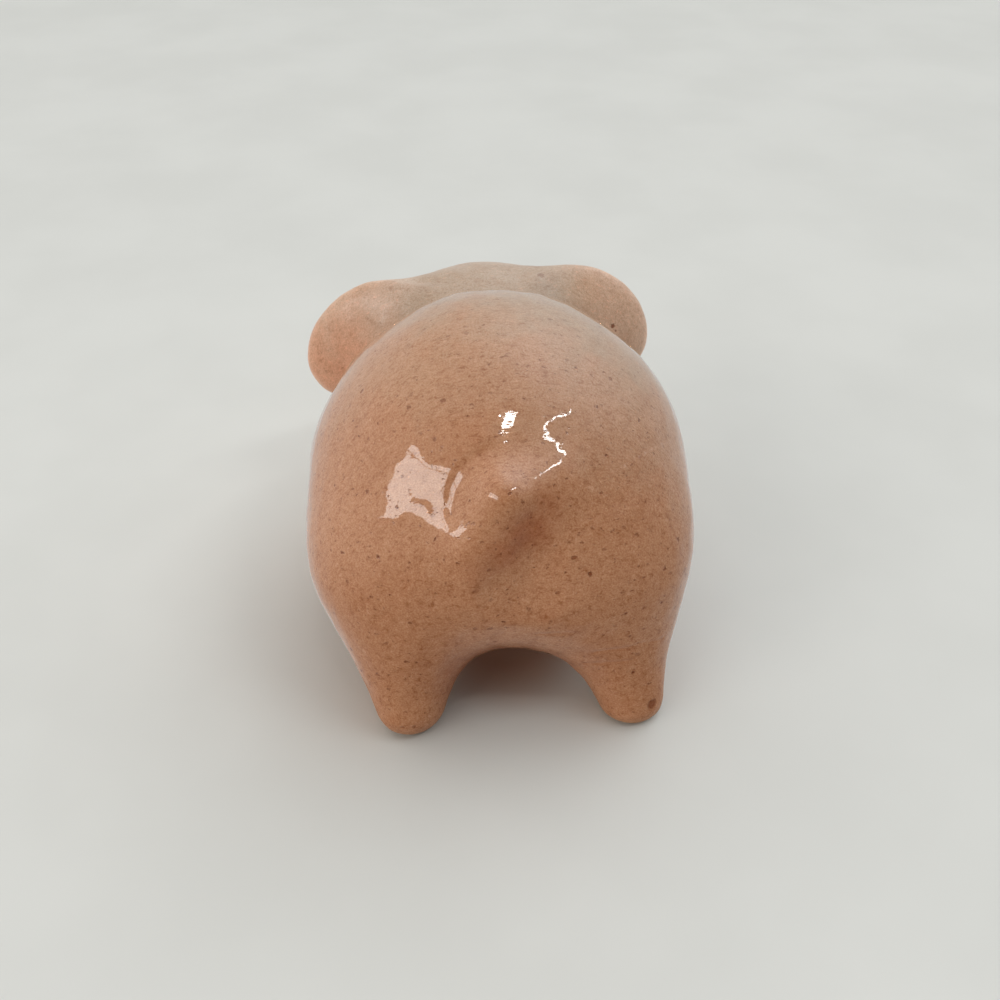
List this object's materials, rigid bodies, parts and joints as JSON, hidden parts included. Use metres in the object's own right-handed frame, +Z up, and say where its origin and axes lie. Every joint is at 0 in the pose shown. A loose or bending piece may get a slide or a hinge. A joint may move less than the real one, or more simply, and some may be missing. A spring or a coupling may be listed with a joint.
{
  "type": "pig figurine",
  "caption": "Plump hand-modelled pig figurine in glossy glazed clay, with floppy ears, a round snout, stubby tapered legs and a curled tail nub; a free-standing ornament.",
  "frame": {"origin": "on the ground, in the middle of the figure's plan", "axes": "+Z up, the pig looks along -Y, its left side is +X"},
  "size_m": [0.0332, 0.0428, 0.0304],
  "materials": {
    "glazed_clay": "thick uneven clear gloss glaze over speckled peach clay",
    "eye_glaze": "glossy dark brown glaze"
  },
  "bodies": {
    "root": {"body": "glazed_clay", "head": "glazed_clay", "snout": "glazed_clay", "ear_left": "glazed_clay", "ear_right": "glazed_clay", "leg_front_left": "glazed_clay", "leg_front_right": "glazed_clay", "leg_rear_left": "glazed_clay", "leg_rear_right": "glazed_clay", "tail": "glazed_clay", "eye_left": "eye_glaze", "eye_right": "eye_glaze"}
  },
  "joints": []
}
